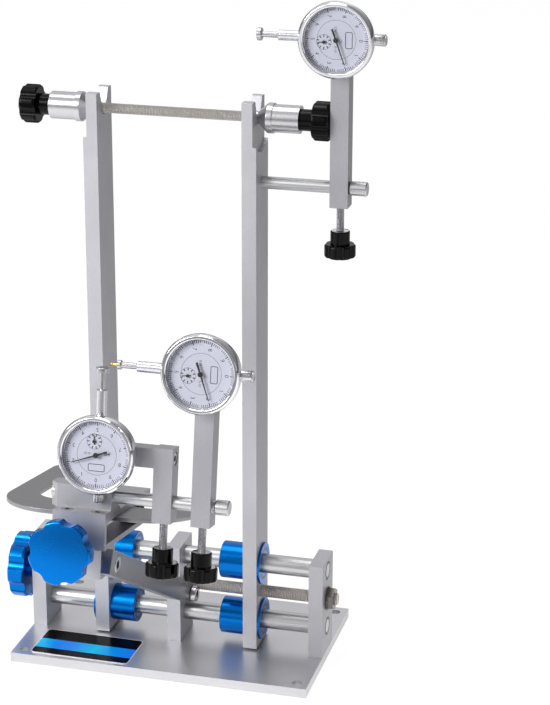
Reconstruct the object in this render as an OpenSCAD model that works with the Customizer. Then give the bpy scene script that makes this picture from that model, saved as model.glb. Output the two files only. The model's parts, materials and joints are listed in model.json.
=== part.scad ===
// Wheel truing stand with three dial gauges.
// X runs to the right along the lead screw, Y to the back and Z up.
// The origin is at the middle of the underside of the base.

/* [Base] */
// Width of the base plate
base_w = 255; // [240:1:300]
// Depth of the base plate
base_d = 155; // [130:1:200]
// Thickness of the base plate
base_t = 8; // [5:0.5:12]
// Diameter of the holes that take bench screws
bench_hole_d = 8; // [5:0.5:10]
// Distance of the bench holes from the edges of the base
bench_hole_inset = 9.5; // [8:0.5:14]
// Size of the screws that hold the plates from below
base_screw_d = 6; // [4:0.5:8]

/* [Plates] */
// Thickness of the three standing plates
plate_t = 12; // [10:0.5:14]
// Depth of the three standing plates
plate_d = 36; // [32:0.5:40]
// Distance of the plates' middle in front of the middle of the base
plate_y = 3.5; // [0:0.5:8]
// Height of the end plates over the base
end_plate_h = 83; // [83:0.5:95]
// Height of the centre plate over the base
centre_plate_h = 85.5; // [83:0.5:95]
// Distance of the centre plate to the left of the middle
centre_plate_x = 1.5; // [0:0.5:4]

/* [Guides] */
// Diameter of the two guide rods
guide_d = 16; // [12:0.5:18]
// Height of the lower guide rod
lower_guide_z = 30; // [28:0.5:32]
// Height of the upper guide rod
upper_guide_z = 81; // [79:0.5:82]
// Outer diameter of the guide bushings
bushing_d = 31; // [26:0.5:32]
// Length of the bushings on the inner side of the uprights
bushing_reach = 21.5; // [12:0.5:22]
// Diameter of the flanges of the bushings
flange_d = 35; // [33:0.5:36]
// Thickness of the flanges of the bushings
flange_t = 2; // [1:0.5:3]

/* [Lead screw] */
// Diameter of the lead screw
lead_d = 10; // [8:0.5:10]
// Height of the lead screw
lead_z = 55.5; // [54:0.5:57]
// Width across the flats of the nut on the lead screw
lead_nut_w = 17; // [14:0.5:20]
// Thickness of the nut and its washer
lead_nut_t = 6; // [4:0.5:10]
// Diameter of the handwheel
wheel_d = 57; // [45:1:62]
// Thickness of the rim of the handwheel
wheel_t = 14; // [10:0.5:18]
// Diameter of the hub of the handwheel
wheel_hub_d = 22; // [16:0.5:28]
// Length of the hub of the handwheel
wheel_hub_t = 5; // [3:0.5:8]

/* [Uprights] */
// Distance of each upright from the middle
upright_x = 65; // [62:0.5:72]
// How far each upright can move inwards
close_travel = 9; // [5:0.5:12]
// Thickness of the uprights
upright_t = 12; // [10:0.5:13]
// Depth of the uprights
upright_d = 36; // [34:0.5:40]
// Height of the tops of the uprights
upright_top = 475.5; // [470:0.5:500]
// Gap between the uprights and the base
upright_gap = 1.5; // [1:0.5:3]
// Height of the wheel axle
axle_z = 461; // [440:0.5:463]
// Radius of the relief round the axle on the outer faces
relief_r = 27; // [20:0.5:30]
// Depth of the relief
relief_t = 3; // [1:0.5:4]
// Front opening of the funnel over the axle slot
funnel_front = 9.4; // [7:0.2:11]
// Back opening of the funnel over the axle slot
funnel_back = 11; // [7:0.2:12]

/* [Axle adapter] */
// Diameter of the axle
axle_d = 8; // [5:0.5:9]
// Length of the axle
axle_len = 218; // [210:1:220]
// Diameter of the spigots that sit in the slots
spigot_d = 10; // [9.5:0.1:12]
// Length of a spigot
spigot_len = 6.3; // [5:0.1:8]
// Diameter of the rim of a cone
cone_d = 24; // [18:0.5:30]
// Length of the slope of a cone
cone_len = 8; // [5:0.5:12]
// Width of the rim of a cone
cone_rim_t = 4.6; // [2:0.1:8]
// Diameter of the barrel behind a cone
barrel_d = 22; // [16:0.5:28]
// Length of the barrel behind a cone
barrel_len = 21.4; // [15:0.1:25]
// Diameter of the star knobs on the axle
axle_knob_d = 31; // [24:0.5:36]
// Thickness of the star knobs on the axle
axle_knob_t = 13.3; // [8:0.1:13.5]
// Diameter of the sleeve of the star knobs
axle_sleeve_d = 17; // [12:0.5:20]
// Length of the sleeve of the star knobs
axle_sleeve_t = 10.4; // [6:0.1:10.8]

/* [Gauge arms] */
// Diameter of the rods that carry the arms
arm_rod_d = 10; // [8:0.5:11]
// Height of the rod on the right upright
top_rod_z = 409; // [380:0.5:420]
// Distance of the rod's end from the middle, without its nut
top_rod_end = 142; // [142:0.5:150]
// Width of the arms
arm_w = 14.5; // [12:0.5:16]
// Depth of the arms
arm_d = 15; // [14:0.5:18]
// Length of an arm below its rod
arm_drop = 15; // [12:0.5:16]
// Place of the top arm along its rod
top_arm_x = 134.4; // [134:0.2:135]
// Height of the top gauge over its rod
top_gauge_rise = 120; // [110:0.5:130]
// Height of the side gauge over its rod
side_gauge_rise = 101; // [95:0.5:115]
// Place of the side arm along its rod
side_arm_x = 81.2; // [80:0.2:82]
// Place of the post arm along its rod
post_arm_x = 51.5; // [50:0.5:53]
// Height of the post arm over its rod
post_rise = 41; // [40:0.5:50]
// Height of the cross arm's middle over the rod
cross_rise = 33; // [32:0.5:36]
// Height of the cross arm
cross_h = 14.5; // [10:0.5:15]
// Place of the lower gauge along the cross arm
lower_gauge_x = 4.8; // [3:0.2:6]
// Height of the lower gauge over the rod
lower_gauge_rise = 34.5; // [34.5:0.5:38]

/* [Clamp screws] */
// Diameter of the studs of the clamp screws
stud_d = 6; // [4:0.5:7]
// Free length of the studs below the arms
stud_len = 19.5; // [10:0.5:25]
// Diameter of the hubs of the clamp screws
clamp_hub_d = 15.5; // [10:0.5:16]
// Length of the hubs of the clamp screws
clamp_hub_t = 11; // [6:0.5:14]
// Diameter of the stars of the clamp screws
clamp_star_d = 25; // [20:0.5:28]
// Thickness of the stars of the clamp screws
clamp_star_t = 10.5; // [7:0.5:12]

/* [Swing arm] */
// Distance of the pivot in front of the middle of the base
pivot_y = 15.5; // [15:0.1:16]
// Height of the pivot
pivot_z = 51.5; // [51:0.1:52]
// Diameter of the pivot bolt
pivot_d = 8; // [6:0.5:8]
// Angle of the arm over the level
swing = 30.3; // [25:0.1:36]
// Lean of the head towards the back
lean = 10; // [5:0.5:14]
// Distance from the pivot to the bolt of the head
reach = 216.5; // [205:0.5:225]
// Length of the arm beyond the bolt of the head
arm_tail = 16.5; // [12:0.5:16.5]
// Height of the arm
swing_h = 19; // [15:0.5:19]
// Thickness of the arm
swing_t = 8; // [6:0.5:8]
// Radius of the arm's end at the pivot
swing_end_r = 7.2; // [6.5:0.1:7.4]
// Length of the taper towards the pivot
swing_taper = 40; // [25:1:60]

/* [Head] */
// Height of the caliper rod over the bolt of the head
head_rise = 55.3; // [55:0.1:57]
// Distance of the bolt of the head behind the caliper rod
head_bolt_back = 13.5; // [12:0.5:15]
// Left end of the clamp block
block_left = 35; // [30:0.5:40]
// Right end of the clamp block
block_right = 13; // [10:0.5:16]
// Depth of the clamp block in front of its rod
block_fore = 8; // [7:0.1:8.1]
// Depth of the clamp block behind its rod
block_aft = 10; // [8:0.5:12]
// Height of the clamp block over the rod
block_rise = 7.5; // [7:0.1:7.7]
// Thickness of the foot of the clamp block
foot_t = 3; // [2:0.5:4]
// Left end of the bracket
bracket_left = 28; // [26:0.5:30]
// Length of the bracket
bracket_d = 108; // [100:1:112]
// Front of the bracket, from the caliper rod
bracket_front = 20; // [18:0.5:22]
// Height of the bracket
bracket_h = 24.5; // [23:0.5:24.5]
// Thickness of the walls of the bracket
bracket_wall = 4; // [3:0.5:5]
// Middle of the slot and the feed screw, from the middle
feed_x = 12; // [11.5:0.5:12.5]
// Width of the slot in the bracket
slot_w = 14; // [13.6:0.2:15]
// Diameter of the feed screw
feed_d = 8; // [6:0.5:8]
// Diameter of the star of the front knob
front_star_d = 48; // [40:0.5:56]
// Thickness of the star of the front knob
front_star_t = 11.5; // [8:0.5:18]
// Diameter of the hub of the front knob
front_hub_d = 24; // [14:0.5:28]
// Length of the hub of the front knob
front_hub_t = 18.5; // [8:0.5:24]

/* [Horseshoe feeler] */
// Thickness of the horseshoe
shoe_t = 3.2; // [2:0.1:4]
// Place of its middle to the left of the middle
shoe_x = 10.5; // [9:0.5:12]
// Half of the width between its prongs
shoe_in = 56; // [52:0.5:60]
// Width of its prongs
shoe_prong = 21; // [16:0.5:24]
// Front edge behind the caliper rod
shoe_front = 4.2; // [4:0.1:5]
// Bottom of the throat behind the caliper rod
shoe_throat = 40; // [36:0.5:44]
// End of the left prong behind the caliper rod
shoe_left_end = 155; // [120:1:158]
// End of the right prong behind the caliper rod
shoe_right_end = 80; // [70:1:100]
// Radius of its outer corners
shoe_outer_r = 45; // [30:0.5:50]
// Radius of its inner corners
shoe_inner_r = 20; // [10:0.5:24]

/* [Dial gauges] */
// Diameter of the case
case_d = 53; // [48:0.5:54]
// Depth of the case
case_t = 11; // [10.5:0.5:13]
// Wall of the case
case_wall = 2; // [1.5:0.1:3]
// Outer diameter of the bezel
bezel_d = 59; // [55.5:0.5:60]
// Depth of the bezel
bezel_t = 7.4; // [6:0.1:9]
// Opening of the bezel
face_d = 50.6; // [47:0.2:51]
// Diameter of the stem
stem_d = 8; // [7:0.1:8.5]
// Distance of the stem's axis from the back of the case
stem_z = 5.4; // [5.2:0.1:5.6]
// Diameter of the plunger
plunger_d = 4.5; // [3.5:0.1:5]
// Length of the stem of the top and the lower gauge from the axis
stem_end = 47; // [40:0.5:48]
// Length of the stem of the side gauge from the axis
side_stem_end = 50; // [40:0.5:51]
// Length of the plunger of the top and the lower gauge
plunger_end = 60; // [59:0.5:61]
// Length of the plunger of the side gauge
side_plunger_end = 65; // [63:0.5:66]
// Travel of the plungers
plunger_travel = 10; // [5:0.5:10]
// Diameter of the disc tip
tip_d = 10; // [7:0.5:12]

/* [Hidden] */
$fn = 72;

aluminium = "#bdbccb";
anodised_blue = "#0070d0";
black_plastic = "#16161c";
bright_steel = "#cfd1da";
thread_steel = "#8f8a85";
dial_white = "#eceaf4";
brass_tone = "#b08d4a";

over = 1;            // overrun of every cut
fit = 0.05;          // radial clearance of running fits
gap = 0.3;           // clearance between faces that pass each other
edge = 0.8;          // small edge break on turned pieces
end_x = base_w / 2 - plate_t / 2;

// Socket head of a screw, as shares of its thread
head_d_share = 1.6;
head_t_share = 0.9;
socket_share = 0.85;
socket_depth_share = 0.5;

// Cylinder along X that starts at x0.
module rod_x(d, x0, x1) {
    translate([x0, 0, 0]) rotate([0, 90, 0]) cylinder(d = d, h = x1 - x0);
}

// Cylinder along X with both ends broken.
module bar_x(d, x0, x1, brk = edge) {
    translate([x0, 0, 0]) rotate([0, 90, 0]) turned(d / 2, x1 - x0, brk);
}

// Solid of revolution with both edges broken.
module turned(r, h, brk) {
    rotate_extrude() polygon([
        [0, 0], [r - brk, 0], [r, brk], [r, h - brk], [r - brk, h], [0, h]
    ]);
}

// Hexagonal socket that opens at z 0 and goes down.
module socket(d) {
    translate([0, 0, -d * socket_depth_share])
        cylinder(d = d * socket_share, h = d * socket_depth_share + over, $fn = 6);
}

// Socket screw that points down from z 0, its head on top.
module socket_screw(d, length) {
    head_t = d * head_t_share;
    difference() {
        union() {
            turned(d * head_d_share / 2, head_t, edge / 2);
            translate([0, 0, -length]) cylinder(d = d, h = length + edge);
        }
        translate([0, 0, head_t]) socket(d);
    }
}

star_depth_share = 0.12;     // depth of a notch, of the star's radius
grip_depth_share = 0.17;     // the same on the black grips
star_notch_share = 0.34;     // radius of a notch, of the star's radius
star_round_share = 0.16;     // rounding of the rim, of the star's thickness

// Star grip that stands on z 0, with rounded edges and scooped notches.
module star(d, t, lobes, depth_share = star_depth_share) {
    r = d / 2;
    round_r = t * star_round_share;
    notch_r = r * star_notch_share;
    difference() {
        rotate_extrude() {
            difference() {
                square([r, t]);
                for (z = [0, 1]) translate([r - round_r, z ? t - round_r : round_r])
                    difference() {
                        translate([0, z ? 0 : -round_r - over]) square([round_r + over, round_r + over]);
                        circle(r = round_r, $fn = 32);
                    }
            }
        }
        for (i = [0 : lobes - 1]) rotate([0, 0, (i + 0.5) * 360 / lobes])
            translate([r * (1 - depth_share) + notch_r, 0, -over])
                cylinder(r = notch_r, h = t + 2 * over, $fn = 32);
    }
}

bench_x = base_w / 2 - bench_hole_inset;
bench_y = base_d / 2 - bench_hole_inset;
base_screw_bite = 12;        // depth of the screw holes in the plates
base_screw_len = base_t + base_screw_bite;
base_screw_gap = plate_d / 2;
base_screw_spots = [
    for (x = [-end_x, -centre_plate_x, end_x], side = [-1, 1])
        [x, -plate_y + side * base_screw_gap / 2]
];

module base_plate() {
    color(aluminium) difference() {
        translate([-base_w / 2, -base_d / 2, 0]) cube([base_w, base_d, base_t]);
        for (x = [-bench_x, bench_x], y = [-bench_y, bench_y])
            translate([x, y, -over]) cylinder(d = bench_hole_d, h = base_t + 2 * over);
        for (p = base_screw_spots) translate([p[0], p[1], -over]) {
            cylinder(d = base_screw_d + 2 * fit, h = base_t + 2 * over);
            cylinder(d = base_screw_d * head_d_share + 2 * gap,
                h = over + base_screw_d * head_t_share + 2 * fit);
        }
    }
}

module base_screws() {
    color(bright_steel) for (p = base_screw_spots)
        translate([p[0], p[1], base_screw_d * head_t_share + 2 * fit])
            rotate([180, 0, 0]) socket_screw(base_screw_d, base_screw_len - base_screw_d);
}

// Plate on the base with the bores for rods and lead screw.
module plate(x, h, lead_hole) {
    difference() {
        translate([x - plate_t / 2, -plate_y - plate_d / 2, base_t]) cube([plate_t, plate_d, h]);
        translate([x, -plate_y, 0]) {
            for (z = [lower_guide_z, upper_guide_z]) translate([0, 0, z])
                rod_x(guide_d, -plate_t / 2 - over, plate_t / 2 + over);
            translate([0, 0, lead_z]) rod_x(lead_hole, -plate_t / 2 - over, plate_t / 2 + over);
        }
        for (p = base_screw_spots) if (abs(p[0] - x) < plate_t / 2)
            translate([p[0], p[1], 0])
                cylinder(d = base_screw_d, h = base_screw_len);
    }
}

lead_journal = lead_d + 2 * fit;

module left_end_plate() {
    color(aluminium) plate(-end_x, end_plate_h, lead_journal);
}

module right_end_plate() {
    color(aluminium) plate(end_x, end_plate_h, lead_journal);
}

module centre_plate() {
    color(aluminium) difference() {
        plate(-centre_plate_x, centre_plate_h, lead_journal);
        translate([-centre_plate_x, -pivot_y, pivot_z])
            rod_x(pivot_d, -plate_t / 2 - over, plate_t / 2 + over);
    }
}

module guide_rod(z) {
    color(bright_steel) translate([0, -plate_y, z]) bar_x(guide_d, -base_w / 2, base_w / 2);
}

module upper_guide_rod() guide_rod(upper_guide_z);
module lower_guide_rod() guide_rod(lower_guide_z);

lead_left = -base_w / 2 - wheel_t;
lead_over = 3;       // length of the lead screw beyond its nut
lead_right = base_w / 2 + lead_nut_t + lead_over;
lead_end_gap = 0.4;

module lead_screw() {
    color(thread_steel) translate([0, -plate_y, lead_z]) bar_x(lead_d, lead_left, lead_right);
}

module handwheel() {
    hub_x = -base_w / 2 - lead_end_gap;
    color(anodised_blue) translate([0, -plate_y, lead_z]) difference() {
        union() {
            rod_x(wheel_hub_d, hub_x - wheel_hub_t - over, hub_x);
            translate([hub_x - wheel_hub_t, 0, 0]) rotate([0, -90, 0]) star(wheel_d, wheel_t, 8);
        }
        rod_x(lead_d, lead_left, over);
    }
}

module lead_screw_nut() {
    nut_x = base_w / 2 + lead_end_gap;
    washer_t = lead_nut_t / 4;
    color(bright_steel) translate([nut_x, -plate_y, lead_z]) difference() {
        union() {
            rod_x(lead_nut_w * 1.15, 0, washer_t);
            rotate([0, 90, 0]) cylinder(d = lead_nut_w / cos(30), h = lead_nut_t, $fn = 6);
        }
        rod_x(lead_d, -over, lead_nut_t + over);
    }
}

upright_bottom = base_t + upright_gap;
slot_d = spigot_d + 2 * fit;

// Right upright about its own middle plane; the left one is its mirror image.
module upright(side) {
    inner = upright_x - upright_t / 2;
    outer = upright_x + upright_t / 2;
    mirror([side < 0 ? 1 : 0, 0, 0]) difference() {
        translate([inner, -plate_y - upright_d / 2, upright_bottom])
            cube([upright_t, upright_d, upright_top - upright_bottom]);
        translate([0, -plate_y, 0]) {
            for (z = [lower_guide_z, upper_guide_z]) translate([0, 0, z])
                rod_x(bushing_d, inner - over, outer + over);
            translate([0, 0, lead_z]) rod_x(lead_journal, inner - over, outer + over);
            translate([0, 0, axle_z]) {
                rod_x(slot_d, inner - over, outer + over);
                translate([inner - over, -slot_d / 2, 0])
                    cube([upright_t + 2 * over, slot_d, upright_top - axle_z + over]);
                translate([inner - over, 0, 0]) rotate([90, 0, 90])
                    linear_extrude(upright_t + 2 * over) polygon([
                        [-slot_d / 2, spigot_d / 4], [-funnel_front, upright_top - axle_z],
                        [-funnel_front, upright_top - axle_z + over],
                        [funnel_back, upright_top - axle_z + over],
                        [funnel_back, upright_top - axle_z], [slot_d / 2, spigot_d / 4]
                    ]);
                rod_x(2 * relief_r, outer - relief_t, outer + over);
                translate([outer - relief_t, -upright_d / 2 - over, 0])
                    cube([relief_t + over, upright_d + 2 * over, upright_top - axle_z + over]);
            }
            if (side > 0) translate([0, 0, top_rod_z])
                rod_x(arm_rod_d, inner - over, outer + over);
        }
    }
}

module left_upright() {
    color(aluminium) upright(-1);
}

module right_upright() {
    color(aluminium) upright(1);
}

module bushings(side) {
    inner = upright_x - upright_t / 2 - bushing_reach;
    outer = upright_x + upright_t / 2;
    color(anodised_blue) mirror([side < 0 ? 1 : 0, 0, 0])
        for (z = [lower_guide_z, upper_guide_z]) translate([0, -plate_y, z]) difference() {
            union() {
                bar_x(bushing_d, inner, outer + flange_t / 2, edge / 2);
                rod_x(flange_d, outer, outer + flange_t);
            }
            rod_x(guide_d + 2 * fit, inner - over, outer + flange_t + over);
        }
}

module left_bushings() bushings(-1);
module right_bushings() bushings(1);

cone_x = upright_x + upright_t / 2 - relief_t - spigot_len + gap;
barrel_x = cone_x + spigot_len + cone_len + cone_rim_t;
axle_knob_x = barrel_x + barrel_len;

module axle_rod() {
    color(thread_steel) translate([0, -plate_y, axle_z])
        bar_x(axle_d, -axle_len / 2, axle_len / 2);
}

module cone(side) {
    rim_x = spigot_len + cone_len;
    color(bright_steel) mirror([side < 0 ? 1 : 0, 0, 0])
        translate([cone_x, -plate_y, axle_z]) rotate([0, 90, 0]) rotate_extrude() polygon([
            [axle_d / 2 + fit, 0], [spigot_d / 2, 0], [spigot_d / 2, spigot_len],
            [cone_d / 2, rim_x], [cone_d / 2, rim_x + cone_rim_t],
            [barrel_d / 2, rim_x + cone_rim_t], [barrel_d / 2, rim_x + cone_rim_t + barrel_len],
            [axle_d / 2 + fit, rim_x + cone_rim_t + barrel_len]
        ]);
}

module left_cone() cone(-1);
module right_cone() cone(1);

module axle_knob(side) {
    color(black_plastic) mirror([side < 0 ? 1 : 0, 0, 0])
        translate([axle_knob_x, -plate_y, axle_z]) difference() {
            union() {
                rod_x(axle_sleeve_d, 0, axle_sleeve_t + over);
                translate([axle_sleeve_t, 0, 0]) rotate([0, 90, 0])
                    star(axle_knob_d, axle_knob_t, 7, grip_depth_share);
            }
            rod_x(axle_d + 2 * fit, -over, axle_len / 2 + close_travel + gap - axle_knob_x);
        }
}

module left_axle_knob() axle_knob(-1);
module right_axle_knob() axle_knob(1);

cap_grow = 1.4;      // how much wider a rod's end cap is than the rod
neck_len = 2;
neck_depth = 1.5;
neck_d = arm_rod_d - 2 * neck_depth;

// Rod along X that ends in a neck; the cap beyond it is drawn with the rod or by itself.
module arm_rod(x0, x1, cap_len) {
    bar_x(arm_rod_d, x0, x1 - neck_len, edge / 2);
    rod_x(neck_d, x1 - neck_len - edge, x1 + edge);
    if (cap_len > 0) bar_x(arm_rod_d + cap_grow, x1, x1 + cap_len);
}

top_cap_len = 14;

module top_rod() {
    color(bright_steel) translate([0, -plate_y, top_rod_z]) {
        bar_x(arm_rod_d, upright_x - upright_t / 2, top_rod_end - neck_len, edge / 2);
        rod_x(neck_d, top_rod_end - neck_len - edge, top_rod_end + top_cap_len - neck_len);
    }
}

module top_rod_nut() {
    color(bright_steel) translate([0, -plate_y, top_rod_z]) difference() {
        bar_x(arm_rod_d + cap_grow, top_rod_end, top_rod_end + top_cap_len);
        rod_x(neck_d, top_rod_end - over, top_rod_end + top_cap_len - neck_len);
    }
}

mount_stud_d = 6;
gauge_arm_over = 8;    // length of an arm beyond the gauge it carries

// Arm about its rod's axis: up is +Z and the gauge faces -Y.
module gauge_arm(rise) {
    difference() {
        translate([-arm_w / 2, -arm_d / 2, -arm_drop])
            cube([arm_w, arm_d, arm_drop + rise + gauge_arm_over]);
        rod_x(arm_rod_d + 2 * fit, -arm_w / 2 - over, arm_w / 2 + over);
        clamp_hole();
        translate([0, arm_d / 2 + over, rise]) rotate([90, 0, 0])
            cylinder(d = mount_stud_d, h = arm_d + 2 * over);
    }
}

module clamp_hole() {
    translate([0, 0, -arm_drop - over]) cylinder(d = stud_d + 2 * fit, h = arm_drop + over);
}

// Clamp screw about the rod's axis.
module clamp_screw() {
    star_z = -arm_drop - stud_len - clamp_hub_t - clamp_star_t;
    color(thread_steel) translate([0, 0, star_z + clamp_star_t])
        cylinder(d = stud_d, h = -star_z - clamp_star_t - arm_rod_d / 2 - gap);
    color(black_plastic) translate([0, 0, star_z]) {
        star(clamp_star_d, clamp_star_t, 7, grip_depth_share);
        turned(clamp_hub_d / 2, clamp_star_t + clamp_hub_t, edge);
    }
}

module at_top_arm() {
    translate([top_arm_x, -plate_y, top_rod_z]) children();
}

module top_arm() {
    color(aluminium) at_top_arm() gauge_arm(top_gauge_rise);
}

module top_arm_knob() {
    at_top_arm() clamp_screw();
}

swing_x = block_right - swing_t;       // left face of the arm
pivot_head_t = 4.5;
pivot_head_d = 13.5;

// Places children on the axis of the pivot, with -Y along the arm.
module on_arm() {
    translate([0, -pivot_y, pivot_z]) rotate([-swing, 0, 0]) children();
}

// Places children about the caliper rod, Y to the back and Z along the leaning head.
module on_head() {
    on_arm() translate([0, -reach, 0]) rotate([swing - lean, 0, 0])
        translate([0, -head_bolt_back, head_rise]) children();
}

head_bolt_d = 8;
head_bolt_cap_d = head_bolt_d * head_d_share;
head_bolt_cap_t = swing_t / 2;

module swing_arm() {
    color(aluminium) on_arm() difference() {
        union() {
            translate([swing_x, 0, 0]) rotate([90, 0, 90]) linear_extrude(swing_t) polygon([
                [0, -swing_end_r], [0, swing_end_r], [-swing_taper, swing_h / 2],
                [-reach - arm_tail, swing_h / 2], [-reach - arm_tail, -swing_h / 2],
                [-swing_taper, -swing_h / 2]
            ]);
            rod_x(2 * swing_end_r, swing_x, swing_x + swing_t);
        }
        rod_x(pivot_d + 2 * fit, swing_x - over, swing_x + swing_t + over);
        translate([0, -reach, 0]) {
            rod_x(head_bolt_d + 2 * fit, swing_x - over, swing_x + swing_t + over);
            rod_x(head_bolt_cap_d + 2 * gap, swing_x + swing_t - head_bolt_cap_t,
                swing_x + swing_t + over);
        }
    }
}

pivot_left = -centre_plate_x - plate_t / 2;

module pivot_fasteners() {
    head_x = swing_x + swing_t + gap;
    color(bright_steel) translate([0, -pivot_y, pivot_z]) difference() {
        union() {
            rod_x(pivot_d, pivot_left, head_x + edge);
            bar_x(pivot_head_d, head_x, head_x + pivot_head_t, edge / 2);
        }
        translate([head_x + pivot_head_t, 0, 0]) rotate([0, 90, 0]) socket(pivot_d);
    }
}

// Countersunk socket screw that points down from z 0, its face on z 0.
module flat_screw(d, head_d, head_t, length) {
    difference() {
        union() {
            translate([0, 0, -head_t]) cylinder(d1 = d, d2 = head_d, h = head_t);
            translate([0, 0, -length]) cylinder(d = d, h = length - head_t + edge);
        }
        socket(d);
    }
}

block_under = 2;     // how much lower the block reaches below its rod than above it
bracket_top = -block_rise - foot_t - block_under;
foot_bottom = bracket_top;
foot_top = foot_bottom + foot_t;
bracket_bottom = bracket_top - bracket_h;
bracket_w = bracket_left + block_right;
bracket_x = -bracket_left;
flange_z = bracket_bottom + bracket_wall;
feed_rise = 2.5;     // height of the feed screw over the bracket's underside
feed_z = bracket_bottom + feed_rise;
tongue_w = 24;
tongue_drop = 6;
shoe_z = bracket_top - bracket_wall - shoe_t;
shoe_slot_back = 18;                   // distance of the slot behind the throat
shoe_slot = shoe_throat + shoe_slot_back;
shoe_knob_x = 8;
shoe_stud_d = 5;
shoe_slot_travel = 8;
block_screw_d = 5;
block_head_d = 10.4;
block_head_t = 2.6;
block_screw_y = -14;
block_screw_spots = [-18.5, 5];
foot_front = bracket_front;
foot_back = 14;
block_chamfer = 6;

module clamp_block() {
    color(aluminium) on_head() difference() {
        union() {
            translate([0, 0, foot_top - edge]) linear_extrude(block_rise - foot_top + edge) polygon([
                [block_chamfer - block_left, -block_fore], [block_right, -block_fore],
                [block_right, block_aft], [-block_left, block_aft],
                [-block_left, block_chamfer - block_fore]
            ]);
            translate([bracket_x, -foot_front, foot_bottom])
                cube([bracket_w, foot_front + foot_back, foot_t]);
        }
        rod_x(arm_rod_d, -block_left - over, block_right + over);
        for (x = block_screw_spots) translate([x, block_screw_y, foot_top]) {
            translate([0, 0, -foot_t - over]) cylinder(d = block_screw_d, h = foot_t + 2 * over);
            translate([0, 0, -block_head_t]) cylinder(d1 = block_screw_d, d2 = block_head_d, h = block_head_t);
            translate([0, 0, -fit]) cylinder(d = block_head_d, h = fit + over);
        }
    }
}

module block_screws() {
    color(bright_steel) on_head() for (x = block_screw_spots)
        translate([x, block_screw_y, foot_top])
            flat_screw(block_screw_d, block_head_d, block_head_t, foot_t + bracket_wall);
}

module caliper_bracket() {
    slot_front = -bracket_front + bracket_wall;
    color(aluminium) on_head() difference() {
        union() {
            difference() {
                translate([bracket_x, -bracket_front, bracket_bottom])
                    cube([bracket_w, bracket_d, bracket_h]);
                translate([bracket_x - over, slot_front, flange_z])
                    cube([bracket_w + 2 * over, bracket_d, bracket_h - 2 * bracket_wall]);
            }
            translate([-feed_x - tongue_w / 2, -bracket_front, bracket_bottom - tongue_drop])
                cube([tongue_w, bracket_wall, tongue_drop + bracket_wall]);
        }
        translate([-feed_x - slot_w / 2, slot_front, bracket_bottom - tongue_drop])
            cube([slot_w, bracket_d, tongue_drop + bracket_wall + over]);
        translate([-feed_x, -bracket_front - over, feed_z]) rotate([-90, 0, 0])
            cylinder(d = feed_d + 2 * fit, h = bracket_wall + 2 * over);
        for (x = block_screw_spots) translate([x, block_screw_y, bracket_top - bracket_wall - over])
            cylinder(d = block_screw_d, h = bracket_wall + 2 * over);
        translate([shoe_knob_x, shoe_slot, bracket_top - bracket_wall - over])
            cylinder(d = shoe_stud_d + 2 * fit, h = bracket_wall + 2 * over);
    }
}

head_gap = gap;
neck_gap = 0.3;
neck_w = slot_w - 2 * neck_gap;
tee_lip = 3;
tee_w = slot_w + 2 * tee_lip;
head_block_back = 30;
head_block_front = 2;
head_block_h = 27;

module head_block() {
    top = bracket_bottom - gap;
    tee_z = flange_z + gap;
    tee_top = feed_z + feed_d / 2 + bracket_wall + over;
    color(aluminium) on_head() difference() {
        union() {
            translate([bracket_x, -head_block_front, top - head_block_h])
                cube([bracket_left + swing_x - head_gap, head_block_front + head_block_back,
                    head_block_h]);
            translate([-feed_x - neck_w / 2, -head_block_front, top - over])
                cube([neck_w, head_block_front + head_block_back, tee_top - top + over]);
            translate([-feed_x - tee_w / 2, -head_block_front, tee_z])
                cube([tee_w, head_block_front + head_block_back, tee_top - tee_z]);
        }
        translate([-feed_x, -head_block_front - over, feed_z]) rotate([-90, 0, 0])
            cylinder(d = feed_d + 2 * fit, h = head_block_front + head_block_back + 2 * over);
        translate([0, head_bolt_back, -head_rise]) rod_x(head_bolt_d, -bracket_left / 2, swing_x);
    }
}

module head_bolt() {
    cap_x = swing_x + swing_t - head_bolt_cap_t + fit;
    color(bright_steel) on_head() translate([0, head_bolt_back, -head_rise]) difference() {
        union() {
            rod_x(head_bolt_d, -bracket_left / 2, cap_x + edge);
            bar_x(head_bolt_cap_d, cap_x, cap_x + head_bolt_cap_t, edge / 2);
        }
        translate([cap_x + head_bolt_cap_t, 0, 0]) rotate([0, 90, 0]) socket(head_bolt_d);
    }
}

collar_d = 12;
collar_t = 3;
feed_len = 51;

module front_knob() {
    hub_y = -bracket_front - fit;
    collar_y = -bracket_front + bracket_wall + fit;
    on_head() translate([-feed_x, 0, feed_z]) rotate([90, 0, 0]) {
        color(anodised_blue) translate([0, 0, -hub_y]) {
            turned(front_hub_d / 2, front_hub_t + over, edge / 2);
            translate([0, 0, front_hub_t]) star(front_star_d, front_star_t, 7);
        }
        color(thread_steel) {
            translate([0, 0, -hub_y - feed_len - edge]) turned(feed_d / 2, feed_len + 2 * edge, edge);
            translate([0, 0, -collar_y - collar_t]) cylinder(d = collar_d, h = collar_t);
        }
    }
}

// Rounded outline between two half widths, open towards the back.
module shoe_outline(half, front, back, corner) {
    translate([-half, front + corner]) square([2 * half, back - front - corner]);
    translate([-half + corner, front]) square([2 * (half - corner), back - front]);
    for (side = [-1, 1]) translate([side * (half - corner), front + corner]) circle(r = corner);
}

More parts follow.
